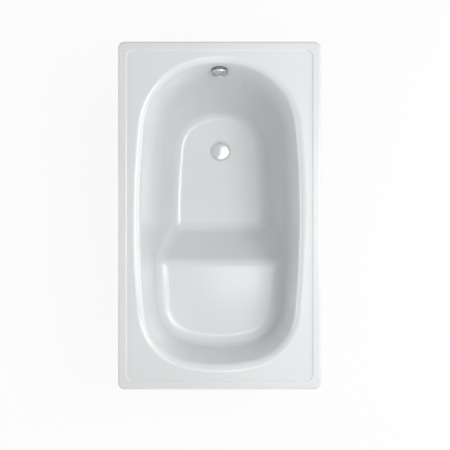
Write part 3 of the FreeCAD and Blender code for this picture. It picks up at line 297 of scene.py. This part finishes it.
aside = direction(tree, "ABSOLUTE", spot)
past_band = direction(tree, "SUBTRACT", aside, cad_high - EDGE_BAND)
past_corner = direction(tree, "SUBTRACT", aside, cad_high - CORNER)
band = add_node(tree, "ShaderNodeSeparateXYZ", Vector=past_band).outputs
corner = add_node(tree, "ShaderNodeSeparateXYZ", Vector=past_corner).outputs
in_band = number(tree, "MAXIMUM", band["X"], band["Y"])
in_corner = number(tree, "MINIMUM", corner["X"], corner["Y"])
near_edge = number(tree, "MAXIMUM", in_band, in_corner)
outward = alignment(tree, direction(tree, "MULTIPLY", spot, LEVEL), normal)
on_skirt = number(tree, "MINIMUM", near_edge, outward)
white_share = number(tree, "GREATER_THAN", number(tree, "MAXIMUM", facing, on_skirt), 0.0)
print("mask nodes:", len(tree.nodes))

# %% [markdown]
# ## The coats of enamel
# The cover coat is a glossy white with a very faint orange-peel ripple. The ground coat is a dull
# blue grey with pale specks. Modelled specks would be thousands of pieces, so a fine noise draws
# one wherever it rises above a limit. The mask mixes the two coats.

# %% Enamel
WHITES = ((0.71, 0.722, 0.73), (0.73, 0.742, 0.75))
GROUNDS = ((0.035, 0.04, 0.048), (0.06, 0.066, 0.075))
SPECK = (0.42, 0.44, 0.46)
PEEL_DEPTH = 0.02 * MM

cover = place_group(tree, tone_group, Scale=4.0, First=rgb(*WHITES[0]), Second=rgb(*WHITES[1]))
ground = place_group(tree, tone_group, Scale=25.0, First=rgb(*GROUNDS[0]), Second=rgb(*GROUNDS[1]))
dots = add_node(tree, "ShaderNodeTexNoise", Vector=spot, Scale=420.0, Detail=1.0)
specks = add_node(tree, "ShaderNodeMapRange", Value=dots.outputs["Fac"], From_Min=0.66, From_Max=0.7)
speckled = blended(tree, "RGBA", specks.outputs["Result"], ground.outputs["Color"], rgb(*SPECK))
coat = blended(tree, "RGBA", white_share, speckled, cover.outputs["Color"])
feed(tree, shader.inputs["Base Color"], coat)

cover_gloss = place_group(tree, gloss_group, Scale=12.0, Smooth=0.18, Dull=0.23).outputs["Roughness"]
ground_gloss = place_group(tree, gloss_group, Scale=60.0, Smooth=0.35, Dull=0.55).outputs["Roughness"]
feed(tree, shader.inputs["Roughness"], blended(tree, "FLOAT", white_share, ground_gloss, cover_gloss))
roughen(tree, shader, scale=160.0, roundness=0.2, depth=PEEL_DEPTH)
finishes = {"enamel": enamel}
print("enamel nodes:", len(tree.nodes))

# %% [markdown]
# ## The other finishes
# Polished chrome on what the bather touches, bright zinc on the fasteners, turned brass for the
# stem, moulded plastic for the waste, and rubber for pads and seals. A plain colour would do from
# afar, but up close no plated or moulded surface is even. So all of them are the three shared
# effects, with their own two tones, range of roughness and grain.

# %% Metals, plastics and rubber
finishes["chrome"] = dress(
    "chrome", ((0.5, 0.51, 0.52), (0.54, 0.548, 0.555)), (0.15, 0.22), metal=1.0,
    gloss=220.0, grain=1500.0, depth=0.001 * MM)
finishes["zinc_fasteners"] = dress(
    "bright zinc", ((0.6, 0.61, 0.62), (0.7, 0.7, 0.68)), (0.24, 0.38), metal=1.0,
    tone=120.0, gloss=300.0, grain=1200.0, depth=0.01 * MM)
finishes["brass"] = dress(
    "turned brass", ((0.66, 0.5, 0.22), (0.74, 0.58, 0.28)), (0.2, 0.32), metal=1.0,
    tone=90.0, gloss=200.0, grain=1400.0, depth=0.01 * MM)
finishes["white_plastic"] = dress(
    "white plastic", ((0.74, 0.745, 0.74), (0.79, 0.792, 0.785)), (0.38, 0.5),
    tone=14.0, gloss=50.0, grain=1100.0, depth=0.02 * MM, roundness=0.5)
finishes["grey_plastic"] = dress(
    "grey plastic", ((0.16, 0.17, 0.18), (0.2, 0.21, 0.22)), (0.4, 0.52),
    tone=40.0, gloss=80.0, grain=1100.0, depth=0.02 * MM, roundness=0.5)
finishes["black_plastic"] = dress(
    "black plastic", ((0.02, 0.02, 0.022), (0.034, 0.034, 0.036)), (0.42, 0.58),
    tone=60.0, gloss=80.0, grain=900.0, depth=0.03 * MM, roundness=0.7)
finishes["black_rubber"] = dress(
    "black rubber", ((0.014, 0.014, 0.014), (0.03, 0.03, 0.029)), (0.62, 0.8),
    tone=70.0, gloss=60.0, grain=700.0, depth=0.05 * MM, roundness=0.8)
print("finishes so far:", sorted(finishes))

# %% [markdown]
# ## Galvanised sheet
# Hot-dip zinc freezes in flat crystals a centimetre across, the spangle, and each of them takes
# the light a little differently. A noise would look like clouds. The cells of a Voronoi pattern
# have straight borders, as the crystals do, and one random colour each, so its red sets the tone
# of a crystal and its green the gloss.

# %% Galvanised steel
CRYSTALS = (rgb(0.44, 0.46, 0.48), rgb(0.62, 0.64, 0.65))
ROLLED_DEPTH = 0.02 * MM

galvanised, tree, shader = start_material("galvanised steel")
place = add_node(tree, "ShaderNodeTexCoord").outputs["Object"]
cells = add_node(tree, "ShaderNodeTexVoronoi", Vector=place, Scale=95.0, Randomness=1.0)
facet = add_node(tree, "ShaderNodeSeparateColor", Color=cells.outputs["Color"]).outputs
feed(tree, shader.inputs["Base Color"], blended(tree, "RGBA", facet["Red"], *CRYSTALS))
facet_gloss = add_node(tree, "ShaderNodeMapRange", Value=facet["Green"], To_Min=0.3, To_Max=0.5)
feed(tree, shader.inputs["Roughness"], facet_gloss.outputs["Result"])
roughen(tree, shader, scale=500.0, roundness=0.1, depth=ROLLED_DEPTH)
shader.inputs["Metallic"].default_value = 1.0
finishes["galvanised_steel"] = galvanised
print("galvanised nodes:", len(tree.nodes))

# %% [markdown]
# ## Dressing the solids
# The record says which finish each solid has, so one loop dresses them all. A new piece further
# down takes the finish of the solid that it belongs to from the same list.

# %% Every solid in its finish
slot_of = {row["node"]: row["material_slot"] for row in record["subparts"]}
for name, slot in slot_of.items():
    mesh = nodes[name].data
    mesh.materials.clear()
    mesh.materials.append(finishes[slot])
print("dressed:", len(slot_of), "nodes in", len(finishes), "finishes")

# %% [markdown]
# ## Helpers for new pieces
# Turned pieces start as half an outline that is spun about an axis, the way they would come off a
# lathe. Every new piece is shaded smooth except at its sharp edges, rides on the body that carries
# it, and stands for the solid that it replaces, if there is one.

# %% Spinning and placing
MERGE = 0.001 * MM
TURNED_STEPS = 72


def arc(across, up, radius, start, end, steps):
    """Points on an arc about (across, up), from one angle to the other in degrees."""
    turns = [math.radians(start + (end - start) * step / steps) for step in range(steps + 1)]
    return [(across + radius * math.cos(turn), up + radius * math.sin(turn)) for turn in turns]


def spun(outline):
    """A new bmesh: an outline of (radius, height), spun about Z all the way round."""
    bm = bmesh.new()
    points = [bm.verts.new((radius, 0.0, height)) for radius, height in outline]
    edges = [bm.edges.new(pair) for pair in zip(points, points[1:])]
    bmesh.ops.spin(bm, geom=points + edges, cent=(0, 0, 0), axis=(0, 0, 1), dvec=(0, 0, 0),
                   angle=math.tau, steps=TURNED_STEPS, use_merge=True)
    return bm


def place_piece(name, bm, finish, body, replaced=(), sharp=35.0):
    """Turn a bmesh into a piece of the tub that rides on a body."""
    bmesh.ops.remove_doubles(bm, verts=bm.verts, dist=MERGE)
    bmesh.ops.recalc_face_normals(bm, faces=bm.faces)
    mesh = bpy.data.meshes.new(name)
    bm.to_mesh(mesh)
    bm.free()
    mesh.shade_smooth()
    mesh.set_sharp_from_angle(angle=math.radians(sharp))
    mesh.materials.append(finishes[finish])
    piece = bpy.data.objects.new(name, mesh)
    scene.collection.objects.link(piece)
    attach(piece, body)
    if replaced:
        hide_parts(*replaced)
    print(name, "faces:", len(mesh.polygons))


bodies = record["behaviour"]["bodies"]
body_of = {node: body for body, members in bodies.items() for node in members}
print("bodies:", sorted(bodies))

# %% [markdown]
# ## Turn knob
# The knob of the overflow is a cast and polished disc: a rolled rim that the fingers hold, and a
# slightly dished face inside it. The picture shows it from above, with a bright streak on the rim
# and a darker face, so the rim has to stand above the face. A ring round a disc would do, but the
# two would meet in a hard line, so one outline has both. It is spun in a frame of its own, whose Z
# is the axis of the knob's joint. The axis lies square to X, so the solid's reach along X is the
# radius, and its reach along the axis gives the back and the front.

# %% Knob
RIM_RADIUS = 4.0 * MM
BACK_ROUND = 1.5 * MM
FACE_RADIUS = 21.5 * MM
FACE_BELOW_RIM = 2.5 * MM
FACE_DISH = 0.8 * MM
FACE_STEPS = 6

joints = {row["name"]: row for row in frame["joints"]}
knob_spot = Vector(joints["knob_turn"]["pos_m"])
knob_axis = Vector(joints["knob_turn"]["axis"]).normalized()
knob_reach = [vert.co - knob_spot for vert in nodes["overflow_knob"].data.vertices]
knob_levels = [reach.dot(knob_axis) for reach in knob_reach]
knob_back = min(knob_levels)
knob_front = max(knob_levels)
knob_radius = max(reach.x for reach in knob_reach)
face_up = knob_front - FACE_BELOW_RIM
rim_up = knob_front - RIM_RADIUS
back_up = knob_back + BACK_ROUND

shares = [step / FACE_STEPS for step in range(FACE_STEPS + 1)]
knob_outline = [(FACE_RADIUS * share, face_up - FACE_DISH * (1 - share ** 2)) for share in shares]
knob_outline += arc(knob_radius - RIM_RADIUS, rim_up, RIM_RADIUS, start=150, end=0, steps=10)
knob_outline += arc(knob_radius - BACK_ROUND, back_up, BACK_ROUND, start=0, end=-90, steps=4)
knob_outline += [(0.0, knob_back)]
knob_bm = spun(knob_outline)
sideways = Vector((1.0, 0.0, 0.0))
knob_frame = Matrix((sideways, knob_axis.cross(sideways), knob_axis)).transposed().to_4x4()
knob_frame.translation = knob_spot
bmesh.ops.transform(knob_bm, matrix=knob_frame, verts=knob_bm.verts)
place_piece("turn_knob", knob_bm, "chrome", "knob", ["overflow_knob"])
print("knob: radius", round(knob_radius / MM, 1), "mm, front", round(knob_front / MM, 1), "mm off the wall")

# %% [markdown]
# ## Plug
# The pop-up plug is a thin chrome dome with a rolled edge, pressed from sheet. The rolled edge
# turns down to the seal and leaves the dark ring that the picture shows round it. A flattened
# sphere would give the dome but not the roll, so the outline is a shallow parabola that ends in a
# small arc, and it is spun about the middle of the solid.

# %% Plug
ROLL_RADIUS = 1.6 * MM
ROLL_LIP = 1.0 * MM
DOME_RISE = 3.2 * MM
DOME_STEPS = 12

plug_low, plug_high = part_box("plug_cap")
plug_middle = (plug_low + plug_high) / 2
dome_edge = (plug_high.x - plug_low.x) / 2 - ROLL_RADIUS
roll_up = plug_high.z - DOME_RISE - ROLL_RADIUS
shares = [step / DOME_STEPS for step in range(DOME_STEPS)]
plug_outline = [(dome_edge * share, plug_high.z - DOME_RISE * share ** 2) for share in shares]
plug_outline += arc(dome_edge, roll_up, ROLL_RADIUS, start=80, end=-90, steps=8)
plug_outline += [(dome_edge - ROLL_LIP, plug_low.z), (0.0, plug_low.z)]
plug_bm = spun(plug_outline)
bmesh.ops.translate(plug_bm, vec=(plug_middle.x, plug_middle.y, 0.0), verts=plug_bm.verts)
place_piece("plug_dome", plug_bm, "chrome", "plug", ["plug_cap"])

# %% [markdown]
# ## Threaded rods
# The legs are set with M10 rods, which the solids show as plain bars. A bump pattern could draw a
# thread on them, but their outline would stay straight. A real thread is one tooth that runs round
# the bar and climbs a pitch with each turn. Spinning the tooth with a small step along the axis
# makes just that, and two cuts take off the spare turns and square off the ends.

# %% Rods
PITCH = 1.5 * MM
TOOTH = 0.62 * MM
ROOT_SPAN = (0.45, 0.55)
STEPS_A_TURN = 16
SPARE_TURNS = 2
THREAD_MERGE = 0.01 * MM


def threaded_rod(name):
    """A rod with a real thread in the place of a plain one."""
    low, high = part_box(name)
    middle = (low + high) / 2
    crest = (high.x - low.x) / 2
    turns = math.ceil((high.z - low.z) / PITCH) + SPARE_TURNS
    bm = bmesh.new()
    tooth = [(crest, 0.0), *((crest - TOOTH, PITCH * share) for share in ROOT_SPAN), (crest, PITCH)]
    points = [bm.verts.new((radius, 0.0, low.z - PITCH + up)) for radius, up in tooth]
    edges = [bm.edges.new(pair) for pair in zip(points, points[1:])]
    bmesh.ops.spin(bm, geom=points + edges, cent=(0, 0, 0), axis=(0, 0, 1), dvec=(0, 0, PITCH / STEPS_A_TURN),
                   angle=math.tau * turns, steps=STEPS_A_TURN * turns, use_merge=False)
    bmesh.ops.remove_doubles(bm, verts=bm.verts, dist=THREAD_MERGE)
    for level, away in ((low.z, -1.0), (high.z, 1.0)):
        everything = bm.verts[:] + bm.edges[:] + bm.faces[:]
        bmesh.ops.bisect_plane(bm, geom=everything, plane_co=(0, 0, level), plane_no=(0, 0, away),
                               clear_outer=True)
    bmesh.ops.holes_fill(bm, edges=[edge for edge in bm.edges if edge.is_boundary], sides=0)
    bmesh.ops.translate(bm, vec=(middle.x, middle.y, 0.0), verts=bm.verts)
    place_piece(name + "_thread", bm, slot_of[name], body_of[name], [name], sharp=70.0)


for end in ("front", "rear"):
    for side in ("left", "right"):
        threaded_rod(f"rod_{end}_{side}")

# %% [markdown]
# ## The separate solids of a node
# All nuts of one kind are one node, and each of them needs its own place. They could be listed by
# hand, but walking along the edges from any corner finds one solid after the other, and the box of
# each gives its middle and its size. The short side of a nut's box is its axis.

# %% Boxes of the solids in a node
QUARTER_TURN = math.radians(90.0)


def merged_copy(name):
    """A bmesh of a CAD node with its loose triangles joined up."""
    bm = bmesh.new()
    bm.from_mesh(nodes[name].data)
    bmesh.ops.remove_doubles(bm, verts=bm.verts, dist=MERGE)
    return bm


def islands(name):
    """The boxes of the separate solids in a CAD node, from left to right."""
    bm = merged_copy(name)
    left = set(bm.verts)
    boxes = []
    while left:
        newest = [left.pop()]
        found = set(newest)
        while newest:
            near = {edge.other_vert(vert) for vert in newest for edge in vert.link_edges}
            newest = list(near - found)
            found.update(newest)
        left -= found
        low = Vector([min(vert.co[axis] for vert in found) for axis in range(3)])
        high = Vector([max(vert.co[axis] for vert in found) for axis in range(3)])
        boxes.append((low, high))
    bm.free()
    return sorted(boxes, key=lambda box: tuple(box[0]))


def nut_place(low, high):
    """The middle of a nut's box, with Z along its short side, which is Y or Z."""
    place = Matrix.Translation((low + high) / 2)
    if high.y - low.y < high.z - low.z:
        place = place @ Matrix.Rotation(QUARTER_TURN, 4, "X")
    return place


print("lock nuts:", len(islands("leg_lock_nuts")))

# %% [markdown]
# ## A hexagon nut
# A hexagon nut is cold formed and then turned, and the turning leaves a cone on both faces, which
# meets the flats in the arcs that make a nut look like one. A Boolean could cut the cone from a
# prism, but it leaves thin, untidy faces. So half a nut is bridged from three rings, the bore, the
# turned circle and the hexagon, whose corners drop with the cone, and a mirror makes the rest.

# %% One chamfered nut
RING_STEPS = 24
CONE_SLOPE = math.tan(math.radians(30.0))
TURNED_SHARE = 0.475


def edges_of(verts):
    """The edges at some vertices, each once and always in the same order."""
    return list(dict.fromkeys(edge for vert in verts for edge in vert.link_edges))


def ring_of(bm, sides, cuts, radius):
    """A ring of edges: a polygon with a corner on Y, whose sides are cut into equal lengths."""
    turned = Matrix.Rotation(QUARTER_TURN, 4, "Z")
    edges = edges_of(bmesh.ops.create_circle(bm, segments=sides, radius=radius, matrix=turned)["verts"])
    if cuts:
        split = bmesh.ops.subdivide_edges(bm, edges=edges, cuts=cuts)
        edges = [item for item in split["geom"] if isinstance(item, bmesh.types.BMEdge)]
    return edges


def chamfered_nut(bm, flats, height, bore, place):
    """Add one nut about the Z axis of its place."""
    one = bmesh.new()
    turned = TURNED_SHARE * flats
    hole = ring_of(one, RING_STEPS, 0, bore)
    circle = ring_of(one, RING_STEPS, 0, turned)
    hexagon = ring_of(one, 6, RING_STEPS // 6 - 1, flats / math.sqrt(3.0))
    bmesh.ops.bridge_loops(one, edges=hole + circle)
    bmesh.ops.bridge_loops(one, edges=circle + hexagon)
    for vert in one.verts:
        beyond = max(0.0, vert.co.xy.length - turned)
        vert.co.z = height / 2 - beyond * CONE_SLOPE
    walls = bmesh.ops.extrude_edge_only(one, edges=[edge for edge in one.edges if edge.is_boundary])
    for item in walls["geom"]:
        if isinstance(item, bmesh.types.BMVert):
            item.co.z = 0.0
    bmesh.ops.mirror(one, geom=one.verts[:] + one.edges[:] + one.faces[:], axis="Z", merge_dist=MERGE)
    bmesh.ops.transform(one, matrix=place, verts=one.verts)
    mesh = bpy.data.meshes.new("nut")
    one.to_mesh(mesh)
    one.free()
    bm.from_mesh(mesh)
    bpy.data.meshes.remove(mesh)


# %% [markdown]
# ## Nuts in their places
# The lock nuts and the weld nuts fit the M10 rods, and the nuts on the studs and the post bolts
# are M8. A bore is a trifle wider than its thread. All nuts of a kind become one piece, as they are
# one node, and every nut takes its width over the flats and its height from its own box.

# %% Nuts on rods, studs and bolts
M10_BORE = 5.05 * MM
M8_BORE = 4.05 * MM
NUT_BORES = {"leg_lock_nuts": M10_BORE, "leg_weld_nuts": M10_BORE, "stud_nuts": M8_BORE, "post_nuts": M8_BORE}

for name, bore in NUT_BORES.items():
    nuts_bm = bmesh.new()
    for low, high in islands(name):
        span = high - low
        chamfered_nut(nuts_bm, span.x, min(span), bore, nut_place(low, high))
    place_piece(name + "_turned", nuts_bm, slot_of[name], body_of[name], [name], sharp=25.0)

# %% [markdown]
# ## Soft edges on the leg frame
# Folded and punched steel never has a perfectly sharp edge, and it is the thin line of light along
# an edge that shows its thickness. A Bevel modifier can't round the solids as they are, because
# their triangles are loose. So they are copied, the triangles joined back into flat faces, and
# every sharp edge gets a small round bevel.

# %% Bevelled frame
EDGE_ROUND = 0.5 * MM
FLAT_WITHIN = math.radians(1.0)
SHARP_FROM = math.radians(40.0)
FRAME_NODES = ("front_rail", "rear_rail", "rear_post_left", "rear_post_right", "post_end_plates",
               "post_bolts")


def round_edges(bm, edges, width):
    """A round bevel along some edges."""
    bmesh.ops.bevel(bm, geom=edges, offset=width, offset_type="OFFSET", affect="EDGES", segments=2,
                    profile=0.5, material=-1, clamp_overlap=True)


for name in FRAME_NODES:
    frame_bm = merged_copy(name)
    bmesh.ops.dissolve_limit(frame_bm, angle_limit=FLAT_WITHIN, verts=frame_bm.verts, edges=frame_bm.edges)
    folded = [edge for edge in frame_bm.edges if edge.is_manifold and edge.calc_face_angle(0.0) > SHARP_FROM]
    round_edges(frame_bm, folded, EDGE_ROUND)
    place_piece(name + "_soft", frame_bm, slot_of[name], body_of[name], [name], sharp=50.0)

# %% [markdown]
# ## Grip ribs
# The plastic nuts of the waste are turned by hand, so their outside has ribs. They could be drawn
# out of the ring, but the solid is to stay as it is. So each rib is a small bar with rounded edges,
# set a little more than half into the ring that it belongs to and repeated round it.

# %% Ribs on the union nuts and the trap cup
RIB_DEEP = 2.0 * MM
RIB_WIDE = 2.6 * MM
RIB_ROUND = 0.6 * MM
RIB_SINK = 0.2 * MM
NUT_RIBS = 20
NUT_RIB_SHARE = 0.72
CUP_RIBS = 32
CUP_RIB_LENGTH = 14.0 * MM
CUP_RIB_DROP = 1.5 * MM


def grip_ribs(name, node, place, radius, length, count):
    """A ring of rounded bars about the Z axis of its place."""
    bm = bmesh.new()
    bar = Matrix.Translation((radius - RIB_SINK, 0, 0)) @ Matrix.Diagonal((RIB_DEEP, RIB_WIDE, length, 1.0))
    for step in range(count):
        turn = Matrix.Rotation(math.tau * step / count, 4, "Z")
        corners = bmesh.ops.create_cube(bm, size=1.0, matrix=turn @ bar)["verts"]
        round_edges(bm, edges_of(corners), RIB_ROUND)
    bmesh.ops.transform(bm, matrix=place, verts=bm.verts)
    place_piece(name, bm, slot_of[node], body_of[node], sharp=50.0)


for index, (low, high) in enumerate(sorted(islands("pipe_nuts"), key=lambda box: box[0].z)):
    span = high - low
    length = NUT_RIB_SHARE * min(span)
    grip_ribs(f"pipe_nut_ribs_{index}", "pipe_nuts", nut_place(low, high), span.x / 2, length, NUT_RIBS)

cup_low, cup_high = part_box("trap_cup")
ribs_middle = (cup_low + cup_high) / 2
ribs_middle.z = cup_high.z - CUP_RIB_DROP - CUP_RIB_LENGTH / 2
cup_radius = (cup_high.x - cup_low.x) / 2
grip_ribs("trap_cup_ribs", "trap_cup", Matrix.Translation(ribs_middle), cup_radius, CUP_RIB_LENGTH, CUP_RIBS)

# %% [markdown]
# ## Floor
# The tub stands on a plain white floor in front of nothing. Lighting the floor until it is white
# would burn out the tub, so the floor shows plain white to the camera and to reflections, and
# keeps a part of its real shading, which leaves the soft shadow.

# %% Floor
FLOOR_HALF = 12.0
FLOOR_DROP = 0.5 * MM
FLOOR_ROUGHNESS = 0.9
WHITENESS = 0.9
PALE = rgb(0.9, 0.9, 0.9)
WHITE = rgb(1.0, 1.0, 1.0)


def background_share(tree):
    """One for rays that come from the camera, a reflection or glass."""
    path = add_node(tree, "ShaderNodeLightPath").outputs
    seen = number(tree, "MAXIMUM", path["Is Camera Ray"], path["Is Glossy Ray"])
    return number(tree, "MAXIMUM", seen, path["Is Transmission Ray"])


def mixed_shader(tree, share, first, second):
    """Two shaders, mixed by a share."""
    return add_in_order(tree, "ShaderNodeMixShader", None, (share, first, second)).outputs["Shader"]


shadow_floor, tree, shader = start_material("floor")
shader.inputs["Base Color"].default_value = PALE
shader.inputs["Roughness"].default_value = FLOOR_ROUGHNESS
paper = add_node(tree, "ShaderNodeEmission", Color=WHITE, Strength=1.0)
whiteness = number(tree, "MULTIPLY", background_share(tree), WHITENESS)
shown = mixed_shader(tree, whiteness, shader.outputs["BSDF"], paper.outputs["Emission"])
feed(tree, tree.nodes["Material Output"].inputs["Surface"], shown)

floor_bm = bmesh.new()
bmesh.ops.create_grid(floor_bm, x_segments=1, y_segments=1, size=FLOOR_HALF)
bmesh.ops.translate(floor_bm, vec=(0.0, 0.0, cad_low.z - FLOOR_DROP), verts=floor_bm.verts)
floor_mesh = bpy.data.meshes.new("floor")
floor_bm.to_mesh(floor_mesh)
floor_bm.free()
floor_mesh.materials.append(shadow_floor)
floor = bpy.data.objects.new("floor", floor_mesh)
scene.collection.objects.link(floor)
print("floor:", 2 * FLOOR_HALF, "m wide")

# %% [markdown]
# ## Background
# The world does the same as the floor: it is white where it is seen, and lights the tub from all
# sides with a good third of that, as the walls of a pale studio do.

# %% World
AMBIENT = 0.37

world = bpy.data.worlds.new("studio")
world.use_nodes = True
scene.world = world
tree = world.node_tree
ambient = tree.nodes["Background"]
ambient.inputs["Color"].default_value = WHITE
ambient.inputs["Strength"].default_value = AMBIENT
bright = add_node(tree, "ShaderNodeBackground", Color=WHITE, Strength=1.0)
shown = mixed_shader(tree, background_share(tree), ambient.outputs["Background"],
                     bright.outputs["Background"])
feed(tree, tree.nodes["World Output"].inputs["Surface"], shown)
print("ambient:", AMBIENT)

# %% [markdown]
# ## Soft studio light
# In the picture the wall on the left is bright and the one on the right lies in shade, so the
# large softbox overhead and the key lamp stand on the right. Low lamps shine across the rim onto
# the upper walls, and a small one gives the seat its shine. Area lamps keep every edge of light
# soft.

# %% Lamps
AIM = Vector((0.0, 0.0, 0.45))
# Each lamp has its place, its two sides in metres and its power in watts.
LAMPS = {
    "overhead": ((1.9, 0.0, 3.9), (3.8, 4.2), 39.0),
    "key_right": ((1.2, 0.1, 2.8), (0.9, 0.9), 24.0),
    "low_right": ((2.7, 0.0, 1.3), (1.0, 1.0), 18.0),
    "low_left": ((-3.0, 0.0, 0.95), (1.0, 1.0), 22.0),
    "low_seat": ((0.0, -3.2, 0.95), (1.0, 1.0), 15.0),
    "seat_shine": ((0.095, -0.29, 2.3), (0.34, 0.34), 2.2),
}
for name, (stand, sides, power) in LAMPS.items():
    lamp_data = bpy.data.lights.new(name, "AREA")
    lamp_data.shape = "RECTANGLE"
    lamp_data.size, lamp_data.size_y = sides
    lamp_data.energy = power
    lamp = bpy.data.objects.new(name, lamp_data)
    lamp.location = stand
    lamp.rotation_euler = (AIM - Vector(stand)).to_track_quat("-Z", "Y").to_euler()
    scene.collection.objects.link(lamp)
print("lamps:", list(LAMPS))

# %% Plain view transform
scene.view_settings.view_transform = "Standard"
